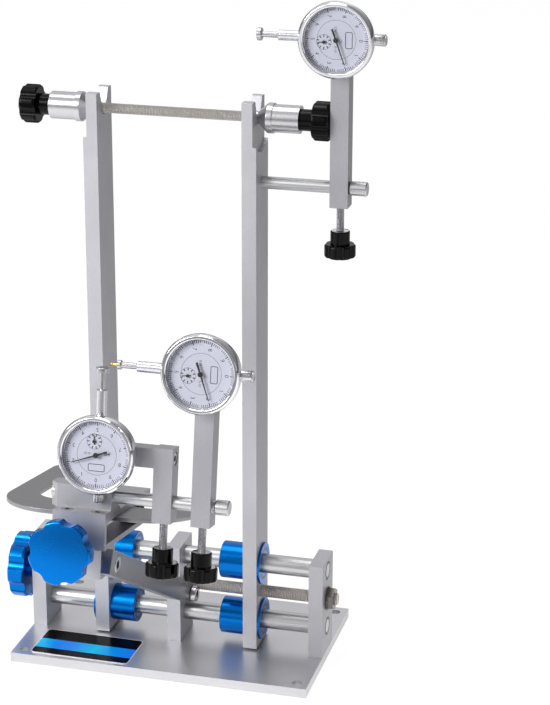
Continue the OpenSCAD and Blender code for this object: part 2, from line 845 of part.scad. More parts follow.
module horseshoe() {
    half = shoe_in + shoe_prong;
    long_end = shoe_left_end - shoe_prong / 2;
    short_end = shoe_right_end - shoe_prong / 2;
    slot_len = shoe_slot_travel + shoe_stud_d;
    color(aluminium) on_head() translate([-shoe_x, 0, shoe_z]) linear_extrude(shoe_t) {
        difference() {
            shoe_outline(half, shoe_front, long_end, shoe_outer_r);
            shoe_outline(shoe_in, shoe_throat, long_end + over, shoe_inner_r);
            translate([shoe_in - over, short_end])
                square([shoe_prong + 2 * over, long_end - short_end + over]);
        }
        for (end = [[-1, long_end], [1, short_end]])
            translate([end[0] * (shoe_in + shoe_prong / 2), end[1]]) circle(d = shoe_prong);
        translate([shoe_x - bracket_left, 0]) difference() {
            translate([0, shoe_throat - over]) square([bracket_w, shoe_slot + shoe_stud_d
                + shoe_slot_travel - shoe_throat]);
            translate([bracket_left + shoe_knob_x, shoe_slot]) {
                circle(d = shoe_stud_d + 2 * fit);
                translate([-shoe_stud_d / 2 - fit, -shoe_slot_travel])
                    square([shoe_stud_d + 2 * fit, shoe_slot_travel]);
                translate([0, -shoe_slot_travel]) circle(d = shoe_stud_d + 2 * fit);
            }
        }
    }
}

shoe_knob_d = 19;
shoe_knob_t = 12;
shoe_stud_over = 2;

module horseshoe_knob() {
    stud_top = bracket_top + shoe_stud_over;
    on_head() translate([shoe_knob_x, shoe_slot, 0]) {
        color(black_plastic) translate([0, 0, shoe_z - gap - shoe_knob_t])
            turned(shoe_knob_d / 2, shoe_knob_t, edge);
        color(bright_steel) translate([0, 0, shoe_z - gap - over])
            cylinder(d = shoe_stud_d, h = stud_top - shoe_z + gap + over);
    }
}

caliper_end = side_arm_x + arm_w / 2 + neck_len + gap;
caliper_cap = 10.5;

module caliper_rod() {
    color(bright_steel) on_head() arm_rod(-block_left, caliper_end, caliper_cap);
}

module at_side_arm() {
    on_head() translate([side_arm_x, 0, 0]) children();
}

module at_post_arm() {
    on_head() translate([post_arm_x, 0, 0]) children();
}

module side_arm() {
    color(aluminium) at_side_arm() gauge_arm(side_gauge_rise);
}

module side_arm_knob() {
    at_side_arm() clamp_screw();
}

cross_screw_d = 6;
cross_screw_bite = 12;
cross_sink = 6;
cross_screw_len = arm_w - cross_sink + cross_screw_bite;
cross_left = 9.5;     // length of the cross arm to the left of the gauge
cross_right = post_arm_x - arm_w / 2;

module post_arm() {
    color(aluminium) at_post_arm() difference() {
        translate([-arm_w / 2, -arm_d / 2, -arm_drop]) cube([arm_w, arm_d, arm_drop + post_rise]);
        rod_x(arm_rod_d + 2 * fit, -arm_w / 2 - over, arm_w / 2 + over);
        clamp_hole();
        translate([0, 0, cross_rise]) {
            rod_x(cross_screw_d, -arm_w / 2 - over, arm_w / 2 + over);
            rod_x(cross_screw_d * head_d_share + 2 * gap, arm_w / 2 - cross_sink, arm_w / 2 + over);
        }
    }
}

module post_arm_knob() {
    at_post_arm() clamp_screw();
}

module cross_arm() {
    left = lower_gauge_x - cross_left;
    color(aluminium) on_head() difference() {
        translate([left, -arm_d / 2, cross_rise - cross_h / 2])
            cube([cross_right - left, arm_d, cross_h]);
        translate([0, 0, cross_rise])
            rod_x(cross_screw_d, cross_right - cross_screw_bite, cross_right + over);
        translate([lower_gauge_x, arm_d / 2 + over, lower_gauge_rise]) rotate([90, 0, 0])
            cylinder(d = mount_stud_d, h = arm_d + 2 * over);
    }
}

module cross_arm_screw() {
    color(bright_steel) on_head() translate([post_arm_x + arm_w / 2 - cross_sink, 0, cross_rise])
        rotate([0, 90, 0]) socket_screw(cross_screw_d, cross_screw_len);
}

// Dial gauges: the dial faces +Z, the stem points to +Y, the case's back is on z 0

bezel_step = 0.5;
neck_r = case_d / 2 - bezel_step;      // seat of the bezel on the case
bezel_seat_t = 2;
dial_t = 1;
neck_wall = 1;
dial_r = neck_r - neck_wall;
dial_z = case_t + bezel_seat_t - dial_t;
hand_lift = 2;                         // height of the main hand over the dial
hand_z = dial_z + dial_t + hand_lift;
hand_t = 0.5;
arbor_d = 2;
counter_arbor_d = 1.2;
bush_t = 3;
bush_wall = 1;
counter_spot = [-2, 9.8];
stem_start = case_d / 2 - case_wall / 2;
guard_d = 9;
guard_end = 37;
plunger_start = 14;
nut_d = 10;
nut_t = 4;
hand_tip = 20;
hand_tail = 9;
hand_hub_d = 3.8;
counter_tip = 4.4;
counter_hub_d = 2.4;
side_collar_d = 7;
side_collar_t = 3;
ball_d = 3;
ball_len = 6;
disc_t = 3.5;

module gauge_case(stem_length) {
    seat_z = case_t + bezel_seat_t;
    color("#55555c") difference() {
        union() {
            cylinder(r = case_d / 2, h = case_t);
            cylinder(r = neck_r, h = seat_z);
            translate([0, stem_start, stem_z]) rotate([-90, 0, 0])
                turned(stem_d / 2, stem_length - stem_start, edge / 2);
            translate([0, -stem_start, stem_z]) rotate([90, 0, 0])
                turned(guard_d / 2, guard_end - stem_start, edge);
            translate([0, 0, -arm_d - nut_t]) cylinder(d = mount_stud_d, h = arm_d + nut_t + over);
            translate([0, 0, -arm_d - nut_t]) cylinder(d = nut_d, h = nut_t, $fn = 6);
        }
        translate([0, 0, case_wall]) cylinder(r = case_d / 2 - case_wall, h = seat_z - case_wall - dial_t);
        translate([0, 0, dial_z]) cylinder(r = dial_r, h = dial_t + over);
        translate([0, 0, stem_z]) rotate([-90, 0, 0])
            cylinder(d = plunger_d + 2 * fit, h = stem_length + over);
    }
}

module gauge_bezel() {
    z0 = case_t + fit;
    z1 = case_t + bezel_t;
    r = bezel_d / 2;
    lip_z = case_t + bezel_seat_t + gap;
    lip = 1.6;
    color(bright_steel) rotate_extrude() polygon([
        [neck_r + fit, z0], [r - edge, z0], [r, z0 + edge], [r, z1 - lip - edge],
        [r - lip, z1], [face_d / 2 + edge, z1], [face_d / 2, z1 - edge],
        [face_d / 2, lip_z], [neck_r + fit, lip_z]
    ]);
}

module gauge_dial() {
    color(dial_white) difference() {
        union() {
            translate([0, 0, dial_z]) cylinder(r = dial_r, h = dial_t);
            translate([0, 0, dial_z - bush_t]) cylinder(d = arbor_d + 4 * bush_wall, h = bush_t + dial_t / 2);
            translate([counter_spot[0], counter_spot[1], dial_z - bush_t])
                cylinder(d = counter_arbor_d + 2 * bush_wall, h = bush_t + dial_t / 2);
        }
        translate([0, 0, dial_z - bush_t - over])
            cylinder(d = arbor_d + 2 * fit, h = bush_t + dial_t + 2 * over);
        translate([counter_spot[0], counter_spot[1], dial_z - bush_t - over])
            cylinder(d = counter_arbor_d + 2 * fit, h = bush_t + dial_t + 2 * over);
    }
}

// Needle that points to +Y, on its arbor.
module needle(tip, tail, hub_d, shaft_d, z, wide) {
    translate([0, 0, z]) {
        linear_extrude(hand_t) polygon([
            [-wide / 4, tip], [wide / 4, tip], [wide / 2, 0],
            [wide * 0.7, -tail], [-wide * 0.7, -tail], [-wide / 2, 0]
        ]);
        cylinder(d = hub_d, h = hand_t * 2);
    }
    translate([0, 0, dial_z - bush_t]) cylinder(d = shaft_d, h = z - dial_z + bush_t + hand_t);
}

hand_turn = 110;       // rest angle of the main hand, from the stem
counter_turn = 4;      // rest angle of the counter hand, from the stem

module gauge_hand() {
    color(black_plastic) rotate([0, 0, hand_turn])
        needle(hand_tip, hand_tail, hand_hub_d, arbor_d, hand_z, 1.2);
}

module gauge_counter_hand() {
    color(black_plastic) translate([counter_spot[0], counter_spot[1], 0])
        rotate([0, 0, counter_turn])
            needle(counter_tip, counter_tip / 2, counter_hub_d, counter_arbor_d,
                dial_z + dial_t + gap, 0.6);
}

// Plunger with a flat disc tip.
module disc_plunger() {
    translate([0, 0, stem_z]) rotate([-90, 0, 0]) {
        color(bright_steel) translate([0, 0, plunger_start])
            cylinder(d = plunger_d, h = plunger_end - plunger_start + edge);
        color(bright_steel) translate([0, 0, plunger_end]) turned(tip_d / 2, disc_t, edge / 2);
    }
}

// Plunger with a collar and a small ball tip.
module ball_plunger() {
    translate([0, 0, stem_z]) rotate([-90, 0, 0]) {
        color(bright_steel) translate([0, 0, plunger_start])
            cylinder(d = plunger_d, h = side_plunger_end - plunger_start);
        color(bright_steel) translate([0, 0, side_plunger_end - side_collar_t])
            turned(side_collar_d / 2, side_collar_t, edge / 2);
        color(brass_tone) translate([0, 0, side_plunger_end - edge])
            cylinder(d1 = plunger_d, d2 = ball_d * 0.7, h = ball_len + edge - ball_d / 2);
        color(brass_tone) translate([0, 0, side_plunger_end + ball_len - ball_d / 2])
            sphere(d = ball_d, $fn = 32);
    }
}

module at_top_gauge() {
    at_top_arm() translate([0, -arm_d / 2, top_gauge_rise])
        rotate([90, 0, 0]) rotate([0, 0, 90]) children();
}

module at_side_gauge() {
    at_side_arm() translate([0, -arm_d / 2, side_gauge_rise])
        rotate([90, 0, 0]) rotate([0, 0, 90]) children();
}

module at_lower_gauge() {
    on_head() translate([lower_gauge_x, -arm_d / 2, lower_gauge_rise])
        rotate([90, 0, 0]) children();
}

module top_gauge_case() at_top_gauge() gauge_case(stem_end);
module top_gauge_bezel() at_top_gauge() gauge_bezel();
module top_gauge_dial() at_top_gauge() gauge_dial();
module top_gauge_hand() at_top_gauge() gauge_hand();
module top_gauge_counter_hand() at_top_gauge() gauge_counter_hand();
module top_gauge_plunger() at_top_gauge() disc_plunger();
module side_gauge_case() at_side_gauge() gauge_case(side_stem_end);
module side_gauge_bezel() at_side_gauge() gauge_bezel();
module side_gauge_dial() at_side_gauge() gauge_dial();
module side_gauge_hand() at_side_gauge() gauge_hand();
module side_gauge_counter_hand() at_side_gauge() gauge_counter_hand();
module side_gauge_plunger() at_side_gauge() ball_plunger();
module lower_gauge_case() at_lower_gauge() gauge_case(stem_end);
module lower_gauge_bezel() at_lower_gauge() gauge_bezel();
module lower_gauge_dial() at_lower_gauge() gauge_dial();
module lower_gauge_hand() at_lower_gauge() gauge_hand();
module lower_gauge_counter_hand() at_lower_gauge() gauge_counter_hand();
module lower_gauge_plunger() at_lower_gauge() disc_plunger();

base_plate();
left_end_plate();
right_end_plate();
centre_plate();
base_screws();
upper_guide_rod();
lower_guide_rod();
lead_screw();
handwheel();
lead_screw_nut();
left_upright();
right_upright();
left_bushings();
right_bushings();
axle_rod();
left_cone();
right_cone();
left_axle_knob();
right_axle_knob();
top_rod();
top_rod_nut();
top_arm();
top_arm_knob();
swing_arm();
pivot_fasteners();
head_block();
head_bolt();
caliper_bracket();
horseshoe();
horseshoe_knob();
clamp_block();
block_screws();
caliper_rod();
front_knob();
side_arm();
side_arm_knob();
post_arm();
post_arm_knob();
cross_arm();
cross_arm_screw();
top_gauge_case();
top_gauge_bezel();
top_gauge_dial();
top_gauge_hand();
top_gauge_counter_hand();
top_gauge_plunger();
side_gauge_case();
side_gauge_bezel();
side_gauge_dial();
side_gauge_hand();
side_gauge_counter_hand();
side_gauge_plunger();
lower_gauge_case();
lower_gauge_bezel();
lower_gauge_dial();
lower_gauge_hand();
lower_gauge_counter_hand();
lower_gauge_plunger();
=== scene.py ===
import json
from math import cos, pi, radians, sin

import bpy
from mathutils import Matrix, Vector


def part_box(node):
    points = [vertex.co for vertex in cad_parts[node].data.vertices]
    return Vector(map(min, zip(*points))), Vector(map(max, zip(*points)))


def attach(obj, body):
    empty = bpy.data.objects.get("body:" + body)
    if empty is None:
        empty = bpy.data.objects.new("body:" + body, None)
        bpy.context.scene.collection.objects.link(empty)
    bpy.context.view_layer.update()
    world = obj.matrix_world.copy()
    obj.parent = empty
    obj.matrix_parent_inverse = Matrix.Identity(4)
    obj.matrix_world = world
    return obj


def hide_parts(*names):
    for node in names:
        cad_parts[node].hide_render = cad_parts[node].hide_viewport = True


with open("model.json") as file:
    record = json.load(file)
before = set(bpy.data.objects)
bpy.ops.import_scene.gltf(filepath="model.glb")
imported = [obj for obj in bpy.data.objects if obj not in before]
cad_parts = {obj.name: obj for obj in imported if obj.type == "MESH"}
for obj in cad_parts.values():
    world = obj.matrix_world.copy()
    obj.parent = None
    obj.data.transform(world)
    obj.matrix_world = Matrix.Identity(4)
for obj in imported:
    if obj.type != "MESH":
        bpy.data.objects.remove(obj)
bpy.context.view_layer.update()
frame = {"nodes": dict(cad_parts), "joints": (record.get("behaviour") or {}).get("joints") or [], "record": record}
bpy.context.view_layer.update()

bodyOfNode = {
    node: body
    for body, nodes in frame["record"]["behaviour"]["bodies"].items()
    for node in nodes
}
jointByName = {j["name"]: j for j in frame["joints"]}


# small helpers for objects

def selectOnly(obj):
    bpy.ops.object.select_all(action="DESELECT")
    obj.hide_viewport = False
    obj.select_set(True)
    bpy.context.view_layer.objects.active = obj


def settle(obj):
    # the place goes into the mesh, and the object returns to the origin
    selectOnly(obj)
    bpy.ops.object.transform_apply(location=True, rotation=True, scale=True)


def placed(obj, matrix):
    obj.matrix_world = matrix @ obj.matrix_world
    bpy.context.view_layer.update()
    settle(obj)
    return obj


def joined(objects, name):
    bpy.ops.object.select_all(action="DESELECT")
    for obj in objects:
        obj.select_set(True)
    bpy.context.view_layer.objects.active = objects[0]
    bpy.ops.object.join()
    objects[0].name = name
    return objects[0]


def ownCopy(obj):
    twin = obj.copy()
    twin.data = obj.data.copy()
    bpy.context.collection.objects.link(twin)
    return twin


def addModifier(obj, kind, **settings):
    modifier = obj.modifiers.new(kind.lower(), kind)
    for key, value in settings.items():
        setattr(modifier, key, value)
    selectOnly(obj)
    bpy.ops.object.modifier_apply(modifier=modifier.name)


def smoothed(obj, angle=32):
    selectOnly(obj)
    bpy.ops.object.shade_smooth_by_angle(angle=radians(angle))


def setFinish(obj, *finishes):
    obj.data.materials.clear()
    for finish in finishes:
        obj.data.materials.append(finish)


# small helpers for editing the active mesh

def editAll():
    bpy.ops.object.mode_set(mode="EDIT")
    bpy.ops.mesh.select_all(action="SELECT")


def raiseSelection(height):
    bpy.ops.mesh.extrude_region_move(TRANSFORM_OT_translate={"value": (0, 0, height)})


def closeMesh():
    bpy.ops.mesh.select_all(action="SELECT")
    bpy.ops.mesh.normals_make_consistent(inside=False)
    bpy.ops.object.mode_set(mode="OBJECT")


def flatPlate(place, size, turn=(0, 0, 0)):
    # a plane of this size, with its place already in the mesh
    bpy.ops.object.select_all(action="DESELECT")
    bpy.ops.mesh.primitive_plane_add(size=1, location=place)
    plate = bpy.context.object
    plate.scale = (*size, 1)
    plate.rotation_euler = turn
    settle(plate)
    return plate


# helpers for materials, and the node groups that several finishes share

def emptyMaterial(name):
    material = bpy.data.materials.new(name)
    material.use_nodes = True
    tree = material.node_tree
    tree.nodes.clear()
    return material, tree, tree.nodes.new("ShaderNodeOutputMaterial")


def newGroup(name, inputs, outputs):
    tree = bpy.data.node_groups.new(name, "ShaderNodeTree")
    for label, kind, value in inputs:
        socket = tree.interface.new_socket(name=label, in_out="INPUT", socket_type=kind)
        socket.default_value = value
    for label, kind in outputs:
        tree.interface.new_socket(name=label, in_out="OUTPUT", socket_type=kind)
    return tree, tree.nodes.new("NodeGroupInput"), tree.nodes.new("NodeGroupOutput")


def mathNode(tree, operation, a, b=None, c=None):
    node = tree.nodes.new("ShaderNodeMath")
    node.operation = operation
    for socket, value in zip(node.inputs, (a, b, c)):
        if value is None:
            continue
        if hasattr(value, "is_linked"):
            tree.links.new(value, socket)
        else:
            socket.default_value = value
    return node.outputs[0]


def mixColours(tree, factor, a, b, blend="MIX"):
    node = tree.nodes.new("ShaderNodeMix")
    node.data_type = "RGBA"
    node.blend_type = blend
    for socket, value in zip((node.inputs[0], node.inputs[6], node.inputs[7]), (factor, a, b)):
        if hasattr(value, "is_linked"):
            tree.links.new(value, socket)
        else:
            socket.default_value = value
    return node.outputs[2]


def noiseNode(tree, vector, scale, detail=3.0, roughness=0.55):
    node = tree.nodes.new("ShaderNodeTexNoise")
    node.inputs["Detail"].default_value = detail
    node.inputs["Roughness"].default_value = roughness
    tree.links.new(vector, node.inputs["Vector"])
    if hasattr(scale, "is_linked"):
        tree.links.new(scale, node.inputs["Scale"])
    else:
        node.inputs["Scale"].default_value = scale
    return node.outputs["Fac"]


def splitVector(tree, vector):
    parts = tree.nodes.new("ShaderNodeSeparateXYZ")
    tree.links.new(vector, parts.inputs[0])
    return parts.outputs


def colourRamp(tree, value, stops):
    # each stop is a place from 0 to 1 and its colour
    ramp = tree.nodes.new("ShaderNodeValToRGB")
    while len(ramp.color_ramp.elements) < len(stops):
        ramp.color_ramp.elements.new(0.5)
    for element, (position, tone) in zip(ramp.color_ramp.elements, stops):
        element.position = position
        element.color = (*tone, 1)
    tree.links.new(value, ramp.inputs[0])
    return ramp.outputs[0]


grainShape = {
    "broadScale": 28.0,        # scale of the broad change of tone
    "markScale": 140.0,        # scale of the handling marks
    "fineShare": 0.5,          # fine grain against broad tone
    "toneGain": 4.0,
    "toneInRoughness": 0.6,    # how far the tone shows in the roughness too
}


def buildGrainGroup(shape):
    # fine grain, broad tone change and handling marks of a machined or moulded surface
    tree, source, sink = newGroup(
        "surfaceGrain",
        [("Vector", "NodeSocketVector", (0, 0, 0)), ("Colour", "NodeSocketColor", (0.6, 0.6, 0.6, 1)),
         ("Grain Scale", "NodeSocketFloat", 900.0), ("Tone Spread", "NodeSocketFloat", 0.06),
         ("Roughness", "NodeSocketFloat", 0.4), ("Roughness Spread", "NodeSocketFloat", 0.1)],
        [("Colour", "NodeSocketColor"), ("Roughness", "NodeSocketFloat"),
         ("Height", "NodeSocketFloat")],
    )
    vector = source.outputs["Vector"]
    fine = noiseNode(tree, vector, source.outputs["Grain Scale"])
    broad = noiseNode(tree, vector, shape["broadScale"], 4.0)
    marks = noiseNode(tree, vector, shape["markScale"], 5.0, 0.7)
    blend = mathNode(tree, "ADD", mathNode(tree, "MULTIPLY", fine, shape["fineShare"]),
                     mathNode(tree, "MULTIPLY", broad, 1 - shape["fineShare"]))
    centred = mathNode(tree, "SUBTRACT", blend, 0.5)
    swing = mathNode(tree, "MULTIPLY", centred, source.outputs["Tone Spread"])
    factor = mathNode(tree, "ADD", mathNode(tree, "MULTIPLY", swing, shape["toneGain"]), 1.0)
    toned = tree.nodes.new("ShaderNodeVectorMath")
    toned.operation = "SCALE"
    tree.links.new(source.outputs["Colour"], toned.inputs[0])
    tree.links.new(factor, toned.inputs["Scale"])
    tree.links.new(toned.outputs[0], sink.inputs["Colour"])
    rub = mathNode(tree, "ADD", mathNode(tree, "SUBTRACT", marks, 0.5),
                   mathNode(tree, "MULTIPLY", centred, shape["toneInRoughness"]))
    rough = mathNode(tree, "MULTIPLY_ADD", rub, source.outputs["Roughness Spread"],
                     source.outputs["Roughness"])
    tree.links.new(rough, sink.inputs["Roughness"])
    tree.links.new(fine, sink.inputs["Height"])
    return tree


threadShape = {
    "rootGain": 2.2,           # how soon the painted shade in the root gives way to the flank
    "rootBlend": 0.2,
    "bumpShare": 0.55,         # depth of the thread in pitches
}


def buildThreadGroup(shape):
    # helix along the X axis of the vector: height 1 on the crests and 0 in the roots, and a mask for painted shade
    # in the roots
    tree, source, sink = newGroup(
        "screwThread",
        [("Vector", "NodeSocketVector", (0, 0, 0)), ("Pitch", "NodeSocketFloat", 0.0015)],
        [("Height", "NodeSocketFloat"), ("Root Shade", "NodeSocketFloat")],
    )
    x, y, z = splitVector(tree, source.outputs["Vector"])
    turns = mathNode(tree, "DIVIDE", mathNode(tree, "ARCTAN2", z, y), 2 * pi)
    along = mathNode(tree, "DIVIDE", x, source.outputs["Pitch"])
    phase = mathNode(tree, "ADD", along, turns)
    height = mathNode(tree, "MULTIPLY", mathNode(tree, "PINGPONG", phase, 0.5), 2.0)
    tree.links.new(height, sink.inputs["Height"])
    # the mask of painted shade: dark in the roots, fading out up the flanks
    flank = mathNode(tree, "SMOOTH_MIN", mathNode(tree, "MULTIPLY", height, shape["rootGain"]),
                     1.0, shape["rootBlend"])
    tree.links.new(mathNode(tree, "SUBTRACT", 1.0, flank), sink.inputs["Root Shade"])
    return tree


grainGroup = buildGrainGroup(grainShape)
threadGroup = buildThreadGroup(threadShape)


def ringedColour(tree, vector, colour, rings):
    # painted shade: a dark ring round each axis that runs along X, for the shade in the gap round a guide rod
    parts = splitVector(tree, vector)
    nearest = None
    for y, z in rings["axes"]:
        across = mathNode(tree, "SUBTRACT", parts[1], y)
        upwards = mathNode(tree, "SUBTRACT", parts[2], z)
        squares = mathNode(tree, "ADD", mathNode(tree, "MULTIPLY", across, across),
                           mathNode(tree, "MULTIPLY", upwards, upwards))
        away = mathNode(tree, "SQRT", squares)
        nearest = away if nearest is None else mathNode(tree, "MINIMUM", nearest, away)
    mask = mathNode(tree, "COMPARE", nearest, rings["radius"], rings["width"] / 2)
    return mixColours(tree, mask, colour, (*rings["colour"], 1))


def fadedColour(tree, vector, fade):
    # a colour that changes along X
    span = tree.nodes.new("ShaderNodeMapRange")
    span.inputs["From Min"].default_value, span.inputs["From Max"].default_value = fade["span"]
    tree.links.new(splitVector(tree, vector)[0], span.inputs["Value"])
    return colourRamp(tree, span.outputs[0], fade["stops"])


def threadAlong(tree, vector, thread):
    # height of a screw thread and its mask of painted shade in the roots, in the frame of the screw's own axis
    screw = tree.nodes.new("ShaderNodeMapping")
    screw.vector_type = "TEXTURE"
    screw.inputs["Location"].default_value = thread["origin"]
    screw.inputs["Rotation"].default_value = thread["turn"]
    tree.links.new(vector, screw.inputs["Vector"])
    helix = tree.nodes.new("ShaderNodeGroup")
    helix.node_tree = threadGroup
    helix.inputs["Pitch"].default_value = thread["pitch"]
    tree.links.new(screw.outputs[0], helix.inputs["Vector"])
    return helix.outputs["Height"], helix.outputs["Root Shade"]


def crownHeight(tree, vector, dome):
    # a slight crown: the height falls off with the distance from the face's centre
    away = tree.nodes.new("ShaderNodeVectorMath")
    away.operation = "DISTANCE"
    tree.links.new(vector, away.inputs[0])
    away.inputs[1].default_value = dome["centre"]
    share = mathNode(tree, "DIVIDE", away.outputs["Value"], dome["radius"])
    return mathNode(tree, "MULTIPLY", mathNode(tree, "MULTIPLY", share, share), -1.0)


# what a look has where it says nothing else
plainLook = {
    "stretch": (1, 1, 1), "grainScale": 900, "toneSpread": 0.05, "roughnessSpread": 0.12,
    "bump": 0.00003, "bumpStrength": 0.5, "specular": 0.5, "coat": 0.0, "coatRoughness": 0.1,
}


def finish(name, ownLook, thread=None):
    # one finish from its look: a colour with grain, and a screw thread where one is asked for
    look = {**plainLook, **ownLook}
    material, tree, output = emptyMaterial(name)
    shader = tree.nodes.new("ShaderNodeBsdfPrincipled")
    tree.links.new(shader.outputs[0], output.inputs[0])
    vector = tree.nodes.new("ShaderNodeTexCoord").outputs["Object"]
    mapping = tree.nodes.new("ShaderNodeMapping")
    mapping.inputs["Scale"].default_value = look["stretch"]
    tree.links.new(vector, mapping.inputs["Vector"])
    grain = tree.nodes.new("ShaderNodeGroup")
    grain.node_tree = grainGroup
    tree.links.new(mapping.outputs[0], grain.inputs["Vector"])
    grain.inputs["Colour"].default_value = (*look["colour"], 1)
    grain.inputs["Grain Scale"].default_value = look["grainScale"]
    grain.inputs["Tone Spread"].default_value = look["toneSpread"]
    grain.inputs["Roughness"].default_value = look["roughness"]
    grain.inputs["Roughness Spread"].default_value = look["roughnessSpread"]
    if "fadeAlongX" in look:
        tree.links.new(fadedColour(tree, vector, look["fadeAlongX"]), grain.inputs["Colour"])
    colour = grain.outputs["Colour"]
    # a dark ring of painted shade round the guide rods' axes, where the look asks for one
    if "rings" in look:
        colour = ringedColour(tree, vector, colour, look["rings"])
    height, distance, strength = grain.outputs["Height"], look["bump"], look["bumpStrength"]
    if thread:
        height, rootShade = threadAlong(tree, vector, thread)
        # the thread's roots take a darker colour: painted shade in the grooves
        colour = mixColours(tree, rootShade, colour, (*look["rootShadeColour"], 1))
        distance, strength = thread["pitch"] * threadShape["bumpShare"], 1.0
    if "dome" in look:
        height, distance = crownHeight(tree, vector, look["dome"]), look["dome"]["rise"]
    bump = tree.nodes.new("ShaderNodeBump")
    bump.inputs["Strength"].default_value = strength
    bump.inputs["Distance"].default_value = distance
    tree.links.new(height, bump.inputs["Height"])
    tree.links.new(bump.outputs[0], shader.inputs["Normal"])
    tree.links.new(colour, shader.inputs["Base Color"])
    tree.links.new(grain.outputs["Roughness"], shader.inputs["Roughness"])
    shader.inputs["Metallic"].default_value = look["metallic"]
    shader.inputs["Specular IOR Level"].default_value = look["specular"]
    shader.inputs["Coat Weight"].default_value = look["coat"]
    shader.inputs["Coat Roughness"].default_value = look["coatRoughness"]
    return material


looks = {
    "blastedAluminium": {"colour": (0.56, 0.555, 0.59), "metallic": 0.5, "roughness": 0.45,
                         "grainScale": 1500, "toneSpread": 0.1, "bump": 0.00004},
    "armAluminium": {"colour": (0.42, 0.415, 0.445), "metallic": 0.55, "roughness": 0.42,
                     "grainScale": 1300, "toneSpread": 0.16, "bump": 0.00005},
    "satinBase": {"colour": (0.62, 0.615, 0.635), "metallic": 0.85, "roughness": 0.34,
                  "grainScale": 1500, "stretch": (0.15, 1, 1), "toneSpread": 0.07, "bump": 0.00002},
    "satinPlate": {"colour": (0.3, 0.3, 0.313), "metallic": 0.9, "roughness": 0.33,
                   "grainScale": 1500, "stretch": (0.15, 1, 1), "toneSpread": 0.08, "bump": 0.00002},
    "satinArm": {"colour": (0.33, 0.33, 0.345), "metallic": 1.0, "roughness": 0.3,
                 "grainScale": 1500, "stretch": (0.15, 1, 1), "toneSpread": 0.08, "bump": 0.00002},
    "blueAnodised": {"colour": (0.001, 0.157, 0.56), "metallic": 1.0, "roughness": 0.27,
                     "grainScale": 1100, "toneSpread": 0.03, "bump": 0.000002, "roughnessSpread": 0.05,
                     "coat": 0.06, "coatRoughness": 0.12},
    "blueSleeve": {"colour": (0.001, 0.14, 0.5), "metallic": 1.0, "roughness": 0.25,
                   "grainScale": 1100, "toneSpread": 0.03, "bump": 0.000002, "roughnessSpread": 0.05,
                   "coat": 0.05, "coatRoughness": 0.1},
    "blackGrip": {"colour": (0.0015, 0.0015, 0.002), "metallic": 0.0, "roughness": 0.16,
                  "specular": 0.13, "grainScale": 1500, "toneSpread": 0.15, "bump": 0.00004},
    "brightSteel": {"colour": (0.52, 0.515, 0.53), "metallic": 1.0, "roughness": 0.24,
                    "grainScale": 1300, "stretch": (0.05, 1, 1), "bump": 0.00001},
    "groundSteel": {"colour": (0.52, 0.52, 0.53), "metallic": 1.0, "roughness": 0.31,
                    "grainScale": 1300, "toneSpread": 0.02, "roughnessSpread": 0.03, "bump": 0.000003},
    "darkSteel": {"colour": (0.15, 0.14, 0.13), "metallic": 1.0, "roughness": 0.24,
                  "grainScale": 900, "bump": 0.00001},
    "turnedSteel": {"colour": (0.64, 0.64, 0.67), "metallic": 1.0, "roughness": 0.26,
                    "grainScale": 900, "stretch": (3, 0.3, 0.3), "bump": 0.00001},
    # the root colour of each threaded look is painted shade in the thread's grooves, the ribbed cap's too
    "threadSteel": {"colour": (0.78, 0.74, 0.69), "metallic": 0.75, "roughness": 0.36,
                    "rootShadeColour": (0.5, 0.47, 0.44)},
    "leadSteel": {"colour": (0.95, 0.88, 0.81), "metallic": 0.35, "roughness": 0.38,
                  "rootShadeColour": (0.68, 0.62, 0.56)},
    "studSteel": {"colour": (0.74, 0.74, 0.76), "metallic": 1.0, "roughness": 0.24,
                  "rootShadeColour": (0.3, 0.3, 0.3)},
    "ribbedCap": {"colour": (0.6, 0.6, 0.62), "metallic": 1.0, "roughness": 0.25,
                  "rootShadeColour": (0.22, 0.22, 0.23)},
    "chrome": {"colour": (0.76, 0.76, 0.79), "metallic": 1.0, "roughness": 0.09,
               "grainScale": 500, "toneSpread": 0.02, "roughnessSpread": 0.05, "bump": 0.000004},
    "dialEnamel": {"colour": (0.68, 0.69, 0.81), "metallic": 0.0, "roughness": 0.5,
                   "grainScale": 700, "toneSpread": 0.012, "bump": 0.000005},
    "dialInk": {"colour": (0.05, 0.05, 0.08), "metallic": 0.0, "roughness": 0.5,
                "toneSpread": 0.1},
    "needlePaint": {"colour": (0.008, 0.008, 0.01), "metallic": 0.0, "roughness": 0.3,
                    "toneSpread": 0.1},
    "tipBrass": {"colour": (0.50, 0.34, 0.13), "metallic": 1.0, "roughness": 0.25,
                 "toneSpread": 0.06},
    "labelBlack": {"colour": (0.001, 0.001, 0.002), "metallic": 0.0, "roughness": 0.25,
                   "specular": 0.08, "toneSpread": 0.1},
    "labelBlue": {"colour": (0.004, 0.2, 0.7), "metallic": 0.0, "roughness": 0.25,
                  "specular": 0.08, "toneSpread": 0.04,
                  "fadeAlongX": {"span": (-0.112, -0.026),
                                 "stops": ((0.0, (0.0, 0.62, 0.95)), (0.2, (0.01, 0.26, 0.95)),
                                           (0.36, (0.02, 0.26, 0.95)), (0.6, (0.0, 0.56, 0.92)),
                                           (0.78, (0.0, 0.30, 0.92)), (1.0, (0.02, 0.20, 0.9)))}},
    "labelEdge": {"colour": (0.8, 0.8, 0.84), "metallic": 0.3, "roughness": 0.35, "toneSpread": 0.04},
}
finishes = {name: finish(name, look) for name, look in looks.items()}


crystalLook = {
    "colour": (0.97, 0.98, 1.0),
    "roughness": 0.04,
    "edgeBlend": 0.2,          # how soon the glass turns bright towards its edge
    "shine": 0.18,
    "dustScale": 420.0,
    "haze": 0.06,
}


